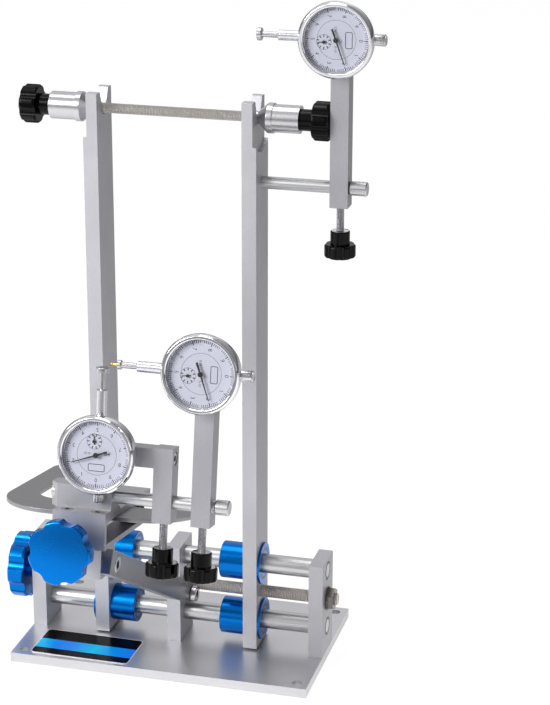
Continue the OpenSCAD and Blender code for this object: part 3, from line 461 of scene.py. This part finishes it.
def buildCrystalFinish(look):
    # clear glass: only its shine and a little dust cover the dial
    material, tree, output = emptyMaterial("dialCrystal")
    shader = tree.nodes.new("ShaderNodeBsdfPrincipled")
    shader.inputs["Base Color"].default_value = (*look["colour"], 1)
    shader.inputs["Roughness"].default_value = look["roughness"]
    shader.inputs["Coat Weight"].default_value = 0.0
    edge = tree.nodes.new("ShaderNodeLayerWeight")
    edge.inputs["Blend"].default_value = look["edgeBlend"]
    coordinates = tree.nodes.new("ShaderNodeTexCoord")
    dust = noiseNode(tree, coordinates.outputs["Object"], look["dustScale"], 5.0, 0.7)
    haze = mathNode(tree, "MULTIPLY", mathNode(tree, "POWER", dust, 3.0), look["haze"])
    shine = mathNode(tree, "MULTIPLY", edge.outputs["Fresnel"], look["shine"])
    tree.links.new(mathNode(tree, "ADD", shine, haze), shader.inputs["Alpha"])
    tree.links.new(shader.outputs[0], output.inputs[0])
    return material


crystalFinish = buildCrystalFinish(crystalLook)
print("finishes made")


# camera at the photograph's viewing angle

cameraSettings = {
    "place": (0.50481, -1.61509, 0.84655),
    "pitchDown": 19.145,
    "yaw": 14.711,
    "roll": 0.134,
    "focalPixels": 2186.0,
    "imageHeight": 705,
}


def addCamera(s):
    data = bpy.data.cameras.new("viewCamera")
    data.sensor_fit = "VERTICAL"
    data.sensor_height = 36
    data.lens = s["focalPixels"] / s["imageHeight"] * data.sensor_height
    data.clip_start, data.clip_end = 0.05, 40
    camera = bpy.data.objects.new("viewCamera", data)
    camera.location = s["place"]
    turn = (Matrix.Rotation(radians(s["yaw"]), 4, "Z")
            @ Matrix.Rotation(radians(90 - s["pitchDown"]), 4, "X")
            @ Matrix.Rotation(radians(s["roll"]), 4, "Z"))
    camera.rotation_euler = turn.to_euler()
    bpy.context.collection.objects.link(camera)
    bpy.context.scene.camera = camera


addCamera(cameraSettings)


# places of the dial gauges and of the leaning head, from the joints

def axisFrame(origin, xAxis, yAxis, zAxis):
    matrix = Matrix.Identity(4)
    for column, axis in enumerate((xAxis, yAxis, zAxis)):
        for row in range(3):
            matrix[row][column] = axis[row]
    matrix.translation = origin
    return matrix


jointDepth = 0.015      # the gauges' joints lie this far in front of the cases' backs


def gaugeFrame(gauge):
    # X across, Y along the stem, Z out of the dial; the case's back is on Z 0
    bezel = jointByName[gauge + "_bezel_turn"]
    stem = -Vector(jointByName[gauge + "_plunger_slide"]["axis"]).normalized()
    normal = -Vector(bezel["axis"]).normalized()
    origin = Vector(bezel["pos_m"]) - normal * jointDepth
    return axisFrame(origin, stem.cross(normal), stem, normal)


gaugeNames = ("top", "side", "lower")
gaugeFrames = {name: gaugeFrame(name) for name in gaugeNames}

headBack = Vector(jointByName["carriage_feed"]["axis"]).normalized()
headOrigin = Vector(jointByName["side_arm_turn"]["pos_m"])
leanAngle = -radians(10)


# finished copies of the machined and moulded pieces

meshCare = {
    "mergeDistance": 0.000002,
    "flatAngle": radians(0.6),     # faces that differ by less than this are one flat face
    "bevelAngle": radians(40),     # edges sharper than this are broken
}


def finishedCopy(node, finishNames, edge=0.0, segments=2):
    # merged, with its flat faces whole again, broken edges and smooth round sides
    cad = frame["nodes"][node]
    piece = cad.copy()
    piece.data = cad.data.copy()
    piece.parent = None
    piece.matrix_world = cad.matrix_world
    for key in list(piece.keys()):
        del piece[key]
    bpy.context.collection.objects.link(piece)
    piece.name = node + "_finished"
    selectOnly(piece)
    editAll()
    bpy.ops.mesh.remove_doubles(threshold=meshCare["mergeDistance"])
    bpy.ops.mesh.dissolve_limited(angle_limit=meshCare["flatAngle"], delimit=set())
    bpy.ops.object.mode_set(mode="OBJECT")
    if edge > 0:
        addModifier(piece, "BEVEL", width=edge, segments=segments, limit_method="ANGLE",
                    angle_limit=meshCare["bevelAngle"], use_clamp_overlap=True, harden_normals=False,
                    miter_outer="MITER_ARC")
    settle(piece)
    setFinish(piece, *[finishes[name] for name in finishNames])
    smoothed(piece)
    # flat faces stay flat and only the broken edges turn the light
    addModifier(piece, "WEIGHTED_NORMAL", mode="FACE_AREA", weight=100, keep_sharp=True)
    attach(piece, bodyOfNode[node])
    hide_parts(node)
    return piece


def paintWhere(piece, index, test):
    # faces whose centre passes the test take another of the piece's finishes
    for face in piece.data.polygons:
        if test(face.center):
            face.material_index = index


plateEdges = {
    "base_plate": 0.0007, "left_end_plate": 0.0005, "right_end_plate": 0.0005, "centre_plate": 0.0005,
    "left_upright": 0.0006, "right_upright": 0.0006, "top_arm": 0.0007, "swing_arm": 0.0005,
    "head_block": 0.0006, "caliper_bracket": 0.0004, "horseshoe": 0.0004, "clamp_block": 0.0005,
    "side_arm": 0.0007, "post_arm": 0.0007, "cross_arm": 0.0007,
}
plateLooks = {
    "base_plate": "satinBase", "horseshoe": "satinPlate", "swing_arm": "satinArm",
    "clamp_block": "armAluminium", "caliper_bracket": "armAluminium",
    "side_arm": "armAluminium", "post_arm": "armAluminium", "top_arm": "armAluminium",
    "cross_arm": "armAluminium",
}
for node, edge in plateEdges.items():
    finishedCopy(node, [plateLooks.get(node, "blastedAluminium")], edge)

# painted shade: dark rings round the guide rods' ends and on the bushings' flanges, for the shade in the gaps
# round the rods, about both rods' Y and Z
guideAxes = ((-0.0035, 0.030), (-0.0035, 0.081))
gapShadeMarks = {
    "ringedSleeve": {"look": "blueSleeve", "radius": 0.0122, "width": 0.0028,
                     "colour": (0.0, 0.01, 0.04)},
    "ringedSteel": {"look": "groundSteel", "radius": 0.0065, "width": 0.0018,
                    "colour": (0.02, 0.02, 0.02)},
}
for name, marks in gapShadeMarks.items():
    finishes[name] = finish(name, dict(looks[marks["look"]], rings=dict(marks, axes=guideAxes)))

# finish and edge of the turned pieces and the bolts
turnedPieces = (
    ("ringedSleeve", 0.0003, ("left_bushings", "right_bushings")),
    ("blueSleeve", 0.0011, ("handwheel",)),
    ("ringedSteel", 0.00015, ("upper_guide_rod", "lower_guide_rod")),
    ("groundSteel", 0.00015, ("top_rod", "caliper_rod")),
    ("brightSteel", 0.00015, ("base_screws", "top_rod_nut", "left_cone", "right_cone",
                              "pivot_fasteners", "head_bolt", "cross_arm_screw")),
    ("darkSteel", 0.00015, ("lead_screw_nut", "block_screws")),
)
for finishName, edge, nodes in turnedPieces:
    for node in nodes:
        finishedCopy(node, [finishName], edge)
print("machined pieces finished")


# screws: threads run along the piece's own axis

threads = {
    "leadPitch": 0.0015,
    "axlePitch": 0.00125,
    "studPitch": 0.001,
}


def threadFinish(name, origin, turn, pitch, look="threadSteel"):
    return finish(name, looks[look], {"origin": origin, "turn": turn, "pitch": pitch})


leadOrigin = jointByName["lead_screw_turn"]["pos_m"]
axleOrigin = jointByName["axle_turn"]["pos_m"]
alongX = (0, 0, 0)      # no turn, as these two screws lie along X
finishes["leadThread"] = threadFinish("leadThread", leadOrigin, alongX, threads["leadPitch"],
                                      "leadSteel")
finishes["axleThread"] = threadFinish("axleThread", axleOrigin, alongX, threads["axlePitch"])
finishedCopy("lead_screw", ["leadThread"])
finishedCopy("axle_rod", ["axleThread"])


def gripAxis(joint):
    entry = jointByName[joint]
    return Vector(entry["pos_m"]), Vector(entry["axis"]).normalized()


def distanceFromAxis(point, origin, axis):
    away = point - origin
    return (away - axis * away.dot(axis)).length


# the moulded clamp grips: joint, radius of the stud and edge of the star
grips = {
    "top_arm_knob": ("top_clamp_turn", 0.003, 0.0004),
    "side_arm_knob": ("side_clamp_turn", 0.003, 0.0004),
    "post_arm_knob": ("post_clamp_turn", 0.003, 0.0004),
    "horseshoe_knob": ("horseshoe_knob_turn", 0.0025, 0.0003),
}
axleGripEdge = 0.0004
studFit = 1.02           # a face belongs to the stud up to this many stud radii from the axis
starMargin = 0.002       # closer than this to the far end, the small faces are the star's own


def finishGrip(node, joint, studRadius, edge):
    # a moulded star with a steel stud: faces close to the axis are the stud
    origin, axis = gripAxis(joint)
    turn = axis.to_track_quat("X", "Z").to_euler()
    studName = node + "_thread"
    finishes[studName] = threadFinish(studName, origin, turn, threads["studPitch"], "studSteel")
    piece = finishedCopy(node, ["blackGrip", studName], edge)
    starEnd = max((vertex.co - origin).dot(axis) for vertex in piece.data.vertices) - starMargin

    def isStud(point):
        near = distanceFromAxis(point, origin, axis) < studRadius * studFit
        return near and (point - origin).dot(axis) < starEnd

    paintWhere(piece, 1, isStud)


for node, (joint, studRadius, edge) in grips.items():
    finishGrip(node, joint, studRadius, edge)
for node in ("left_axle_knob", "right_axle_knob"):
    finishedCopy(node, ["blackGrip"], axleGripEdge)

feedKnob = {
    "edge": 0.0014,
    "crown": {"radius": 0.024, "rise": 0.0016},
    "threadStart": -0.0201,       # behind the knob's hub, along the head's Y
}
feedOrigin, _ = gripAxis("feed_knob_turn")
crown = dict(feedKnob["crown"], centre=feedOrigin)
knobLook = dict(looks["blueAnodised"], dome=crown, bumpStrength=1.0)
finishes["knobBlue"] = finish("knobBlue", knobLook)
finishes["feedThread"] = threadFinish("feedThread", feedOrigin, (leanAngle, 0, pi / 2),
                                      threads["axlePitch"])
frontKnob = finishedCopy("front_knob", ["knobBlue", "feedThread"], feedKnob["edge"])
paintWhere(frontKnob, 1, lambda point: (point - headOrigin).dot(headBack) > feedKnob["threadStart"])
print("grips and screws finished")


# dial gauges

gaugeLook = {
    "seat": 0.013,            # height of the dial's face over the case's back
    "printLift": 0.00001,     # the print lies this far over the face
    "inkThickness": 0.00006,
    "marks": 100,
    "longMarks": 10,
    "tickInner": 0.0224,
    "tickOuter": 0.0246,
    "longTickInner": 0.0214,
    "tickWidth": 0.0004,
    "longTickWidth": 0.00064,
    "numberRadius": 0.0187,
    "numberSize": 0.0042,
    "innerRing": 0.0150,
    "ringWidth": 0.00022,
    "ringSteps": 72,
    "boxCentre": (0.0, -0.0096),
    "boxSize": (0.0128, 0.0056),
    "boxCorner": 0.0012,
    "boxLine": 0.0005,
    "subCentre": (-0.002, 0.0098),
    "subRing": 0.0057,
    "subTicks": (0.0038, 0.0056),
    "subTickWidth": 0.0008,
    "notes": (("0.01", (0.0078, 0.0008)), ("0-10", (-0.0072, 0.0008))),
    "noteSize": 0.0026,
    "crystalHeight": 0.0172,
    "crystalRadius": 0.0252,
    "crystalSteps": ((0.0010, 0.00035), (0.004, 0.0003), (0.008, 0.0002)),   # inwards and up
    "crystalThickness": 0.0006,
    "stemHeight": 0.0054,
    "capStart": 0.0315,       # the ribbed part of the rear cap, from the dial's centre
    "capPitch": 0.0011,
    "tipStart": 0.0652,       # the brass tip of the side gauge's plunger, from the dial's centre
}
gaugeEdges = {"case": 0.0003, "bezel": 0.0003, "hand": 0.00006, "counter_hand": 0.00005,
              "plunger": 0.00015}


def flatRing(radius, width):
    # a thin printed ring, spun from its cut edge
    ring = flatPlate((radius, 0, 0), (width, gaugeLook["inkThickness"]), (pi / 2, 0, 0))
    editAll()
    bpy.ops.mesh.spin(steps=gaugeLook["ringSteps"], angle=2 * pi, center=(0, 0, 0), axis=(0, 0, 1))
    bpy.ops.mesh.select_all(action="SELECT")
    bpy.ops.mesh.remove_doubles(threshold=0.000001)
    closeMesh()
    return ring


def tickMark(inner, outer, width):
    # one graduation line
    tick = flatPlate(((inner + outer) / 2, 0, 0), (outer - inner, width))
    editAll()
    raiseSelection(gaugeLook["inkThickness"])
    closeMesh()
    return tick


def turnedCopies(piece, angles, centre=(0, 0)):
    copies = []
    for angle in angles:
        twin = ownCopy(piece)
        copies.append(placed(twin, Matrix.Translation((*centre, 0)) @ Matrix.Rotation(angle, 4, "Z")))
    return copies


def plainNumber(words, size, x, y):
    # printed figures, made a mesh and laid on the dial; the top of the dial is its -Y side
    bpy.ops.object.select_all(action="DESELECT")
    bpy.ops.object.text_add(location=(x, y, 0), rotation=(0, 0, pi))
    figure = bpy.context.object
    figure.data.body = words
    figure.data.size = size
    figure.data.align_x = "CENTER"
    figure.data.align_y = "CENTER"
    figure.data.extrude = gaugeLook["inkThickness"] / 2
    figure.data.resolution_u = 3
    selectOnly(figure)
    bpy.ops.object.convert(target="MESH")
    figure = bpy.context.object
    settle(figure)
    return figure


def boxOutline(centre, size, line):
    # an empty box with round corners, drawn as a line
    outline = flatPlate((*centre, 0), size)
    editAll()
    bpy.ops.mesh.bevel(offset=gaugeLook["boxCorner"], segments=4, affect="VERTICES")
    bpy.ops.mesh.select_all(action="SELECT")
    bpy.ops.mesh.inset(thickness=line, depth=0)
    bpy.ops.mesh.delete(type="FACE")
    bpy.ops.mesh.select_all(action="SELECT")
    raiseSelection(gaugeLook["inkThickness"])
    closeMesh()
    return outline


def buildDialPrint():
    # graduations, plain figures, rings and the empty box, in the gauge's own frame
    g = gaugeLook
    tick = tickMark(g["tickInner"], g["tickOuter"], g["tickWidth"])
    longTick = tickMark(g["longTickInner"], g["tickOuter"], g["longTickWidth"])
    subTick = tickMark(*g["subTicks"], g["subTickWidth"])
    every = g["marks"] // g["longMarks"]
    tenths = [2 * pi * i / g["longMarks"] for i in range(g["longMarks"])]
    marks = turnedCopies(tick, [2 * pi * i / g["marks"] for i in range(g["marks"]) if i % every])
    marks += turnedCopies(longTick, [angle - pi / 2 for angle in tenths])
    marks += turnedCopies(subTick, tenths, g["subCentre"])
    for seed in (tick, longTick, subTick):
        bpy.data.objects.remove(seed)
    for i, angle in enumerate(tenths):
        x, y = cos(-pi / 2 - angle), sin(-pi / 2 - angle)
        marks.append(plainNumber(str(i), g["numberSize"], g["numberRadius"] * x, g["numberRadius"] * y))
    marks.append(flatRing(g["innerRing"], g["ringWidth"]))
    marks.append(flatRing(g["tickOuter"], g["ringWidth"]))
    subRing = flatRing(g["subRing"], g["ringWidth"])
    marks.append(placed(subRing, Matrix.Translation((*g["subCentre"], 0))))
    marks.append(boxOutline(g["boxCentre"], g["boxSize"], g["boxLine"]))
    for words, spot in g["notes"]:
        marks.append(plainNumber(words, g["noteSize"], *spot))
    return joined(marks, "dialPrintSeed")


def buildCrystal():
    # shallow glass dome inside the bezel, with a rolled rim
    g = gaugeLook
    bpy.ops.object.select_all(action="DESELECT")
    bpy.ops.mesh.primitive_circle_add(vertices=g["ringSteps"], radius=g["crystalRadius"],
                                      fill_type="NGON")
    crystal = bpy.context.object
    crystal.name = "crystalSeed"
    editAll()
    for inwards, lift in g["crystalSteps"]:
        bpy.ops.mesh.inset(thickness=inwards, depth=0)
        bpy.ops.transform.translate(value=(0, 0, lift))
    bpy.ops.mesh.poke()
    bpy.ops.object.mode_set(mode="OBJECT")
    addModifier(crystal, "SOLIDIFY", thickness=g["crystalThickness"], offset=-1)
    smoothed(crystal, 40)
    return crystal


def onGauge(seed, matrix, height, name, finishOfPiece, body):
    # a copy of a seed piece, raised to its height over the case's back
    piece = placed(ownCopy(seed), matrix @ Matrix.Translation((0, 0, height)))
    piece.name = name
    setFinish(piece, finishOfPiece)
    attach(piece, body)
    return piece


def finishGauge(name, printSeed, crystalSeed):
    base = name + "_gauge_"
    matrix = gaugeFrames[name]
    stem = matrix.col[1].to_3d()
    capAxis = matrix @ Vector((0, 0, gaugeLook["stemHeight"]))
    capName = base + "cap"
    finishes[capName] = threadFinish(capName, capAxis, stem.to_track_quat("X", "Z").to_euler(),
                                     gaugeLook["capPitch"], "ribbedCap")
    case = finishedCopy(base + "case", ["turnedSteel", capName], gaugeEdges["case"])
    paintWhere(case, 1, lambda point: (point - capAxis).dot(stem) < -gaugeLook["capStart"])
    finishedCopy(base + "bezel", ["chrome"], gaugeEdges["bezel"], segments=3)
    finishedCopy(base + "dial", ["dialEnamel"])
    for hand in ("hand", "counter_hand"):
        finishedCopy(base + hand, ["needlePaint"], gaugeEdges[hand])
    plunger = finishedCopy(base + "plunger", ["brightSteel", "tipBrass"], gaugeEdges["plunger"])
    if name == "side":
        origin = matrix.translation
        paintWhere(plunger, 1, lambda point: (point - origin).dot(stem) > gaugeLook["tipStart"])
    dialPrint = onGauge(printSeed, matrix, gaugeLook["seat"] + gaugeLook["printLift"], base + "print",
                        finishes["dialInk"], bodyOfNode[base + "dial"])
    onGauge(crystalSeed, matrix, gaugeLook["crystalHeight"], base + "crystal", crystalFinish,
            bodyOfNode[base + "bezel"])


dialPrintSeed = buildDialPrint()
crystalSeed = buildCrystal()
for name in gaugeNames:
    finishGauge(name, dialPrintSeed, crystalSeed)
for seed in (dialPrintSeed, crystalSeed):
    bpy.data.objects.remove(seed)
print("dial gauges finished")


# bare label plate on the base

labelLook = {
    "centre": (-0.0688, -0.0508),
    "size": (0.0862, 0.0442),
    "turn": -0.9,
    "corner": 0.004,
    "thickness": 0.0005,
    "border": 0.0007,
    "bandLow": -0.0625,
    "bandHigh": -0.0464,
    "lift": 0.00002,
}


def isInner(face, look):
    # the field inside the border is made of the wide faces
    return face.area > look["size"][0] * look["border"] * 2


def buildLabel(look):
    # a thin plate with round corners, a light border and a coloured band across
    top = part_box("base_plate")[1].z
    label = flatPlate((*look["centre"], top + look["lift"]), look["size"])
    label.name = "base_label"
    editAll()
    bpy.ops.mesh.bevel(offset=look["corner"], segments=6, affect="VERTICES")
    bpy.ops.mesh.select_all(action="SELECT")
    raiseSelection(look["thickness"])
    bpy.ops.mesh.inset(thickness=look["border"], depth=0)
    for y in (look["bandLow"], look["bandHigh"]):
        bpy.ops.mesh.bisect(plane_co=(0, y, 0), plane_no=(0, 1, 0))
        # the next cut goes through the top's inner faces alone
        bpy.ops.object.mode_set(mode="OBJECT")
        for face in label.data.polygons:
            face.select = face.center.z > top + look["thickness"] and isInner(face, look)
        bpy.ops.object.mode_set(mode="EDIT")
    closeMesh()
    setFinish(label, finishes["labelEdge"], finishes["labelBlack"], finishes["labelBlue"])
    for face in label.data.polygons:
        if face.normal.z > 0.9 and isInner(face, look):
            inBand = look["bandLow"] < face.center.y < look["bandHigh"]
            face.material_index = 2 if inBand else 1
    pivot = Matrix.Translation((*look["centre"], 0))
    placed(label, pivot @ Matrix.Rotation(radians(look["turn"]), 4, "Z") @ pivot.inverted())
    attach(label, "base")


buildLabel(labelLook)
print("label finished")


# floor, backdrop and light

studio = {
    "floorLevel": -0.0003,
    "floorGlow": 0.96,
    "floorColour": 0.1,
    "floorBounce": 0.5,       # how much light the white floor throws back
    "ambient": 0.24,
    "size": 30,
    # brightness of the floor in polished metal, from 3 m in front of the stand to 1 m behind it
    "floorByDepth": ((0.0, 0.4), (0.3, 0.5), (0.55, 1.0), (0.72, 0.95), (0.85, 0.35), (1.0, 0.28)),
    "lamps": (
        {"name": "keyLamp", "place": (-1.9, -2.1, 1.7), "aim": (0.0, -0.05, 0.25),
         "size": 1.5, "power": 84},
        {"name": "topLamp", "place": (-0.3, 0.1, 2.6), "aim": (0.0, -0.05, 0.2),
         "size": 1.2, "power": 16},
        {"name": "sideLamp", "place": (2.4, -0.4, 0.9), "aim": (0.0, -0.05, 0.25),
         "size": 0.8, "power": 2},
    ),
    # tone of the room in polished metal, from straight down to straight up
    "roomByHeight": ((0.0, 0.3), (0.48, 0.3), (0.56, 0.45), (0.66, 0.9), (0.85, 1.0), (1.0, 0.6)),
    # and from the left to the right
    "roomBySide": ((0.0, 0.5), (0.25, 0.85), (0.5, 1.0), (0.62, 0.5), (0.8, 0.3), (1.0, 0.25)),
}


def toneRamp(tree, value, stops):
    # greys along one direction of the room, for a value from -1 to 1
    share = mathNode(tree, "MULTIPLY_ADD", value, 0.5, 0.5)
    return colourRamp(tree, share, [(place, (tone, tone, tone * 1.01)) for place, tone in stops])


def seenInMetal(path):
    # rays that come off polished metal or through glass
    return path.outputs["Is Glossy Ray"], path.outputs["Is Transmission Ray"]


def addFloor(s):
    # white to the camera, darker where it throws light back, and its own tone in metal
    bpy.ops.object.select_all(action="DESELECT")
    bpy.ops.mesh.primitive_plane_add(size=s["size"], location=(0, 0, s["floorLevel"]))
    floor = bpy.context.object
    floor.name = "studioFloor"
    material, tree, output = emptyMaterial("studioFloor")
    diffuse = tree.nodes.new("ShaderNodeBsdfDiffuse")
    glow = tree.nodes.new("ShaderNodeEmission")
    path = tree.nodes.new("ShaderNodeLightPath")
    seen = path.outputs["Is Camera Ray"]
    coordinates = tree.nodes.new("ShaderNodeTexCoord")
    y = splitVector(tree, coordinates.outputs["Object"])[1]
    depth = toneRamp(tree, mathNode(tree, "MULTIPLY_ADD", y, 0.5, 0.5), s["floorByDepth"])
    bounce = mixColours(tree, seen, (s["floorBounce"],) * 3 + (1,), (s["floorColour"],) * 3 + (1,))
    tree.links.new(bounce, diffuse.inputs["Color"])
    mirrored = mathNode(tree, "MAXIMUM", *seenInMetal(path))
    strength = mathNode(tree, "ADD", mathNode(tree, "MULTIPLY", seen, s["floorGlow"]),
                        mathNode(tree, "MULTIPLY", mirrored, depth))
    tree.links.new(strength, glow.inputs["Strength"])
    both = tree.nodes.new("ShaderNodeAddShader")
    tree.links.new(diffuse.outputs[0], both.inputs[0])
    tree.links.new(glow.outputs[0], both.inputs[1])
    tree.links.new(both.outputs[0], output.inputs[0])
    floor.data.materials.append(material)


def addWorld(s):
    # even light, with a room of bright and dark parts that is seen only in polished metal
    world = bpy.data.worlds.new("studioWorld")
    bpy.context.scene.world = world
    world.use_nodes = True
    tree = world.node_tree
    tree.nodes.clear()
    output = tree.nodes.new("ShaderNodeOutputWorld")
    background = tree.nodes.new("ShaderNodeBackground")
    path = tree.nodes.new("ShaderNodeLightPath")
    seen = mathNode(tree, "MAXIMUM", path.outputs["Is Camera Ray"],
                    mathNode(tree, "MAXIMUM", *seenInMetal(path)))
    strength = mathNode(tree, "ADD", mathNode(tree, "MULTIPLY", seen, 1.0 - s["ambient"]), s["ambient"])
    tree.links.new(strength, background.inputs["Strength"])
    coordinates = tree.nodes.new("ShaderNodeTexCoord")
    direction = splitVector(tree, coordinates.outputs["Generated"])
    tall = toneRamp(tree, direction[2], s["roomByHeight"])
    wide = toneRamp(tree, direction[0], s["roomBySide"])
    room = mixColours(tree, 1.0, tall, wide, "MULTIPLY")
    shade = mixColours(tree, path.outputs["Is Glossy Ray"], (1, 1, 1, 1), room)
    tree.links.new(shade, background.inputs["Color"])
    tree.links.new(background.outputs[0], output.inputs[0])


def addLamp(lamp):
    data = bpy.data.lights.new(lamp["name"], "AREA")
    data.shape = "SQUARE"
    data.size = lamp["size"]
    data.energy = lamp["power"]
    obj = bpy.data.objects.new(lamp["name"], data)
    obj.location = lamp["place"]
    aim = Vector(lamp["aim"]) - Vector(lamp["place"])
    obj.rotation_euler = aim.to_track_quat("-Z", "Y").to_euler()
    bpy.context.collection.objects.link(obj)


addFloor(studio)
addWorld(studio)
for lamp in studio["lamps"]:
    addLamp(lamp)
bpy.context.scene.view_settings.view_transform = "Standard"
print("studio ready")

bpy.context.view_layer.update()
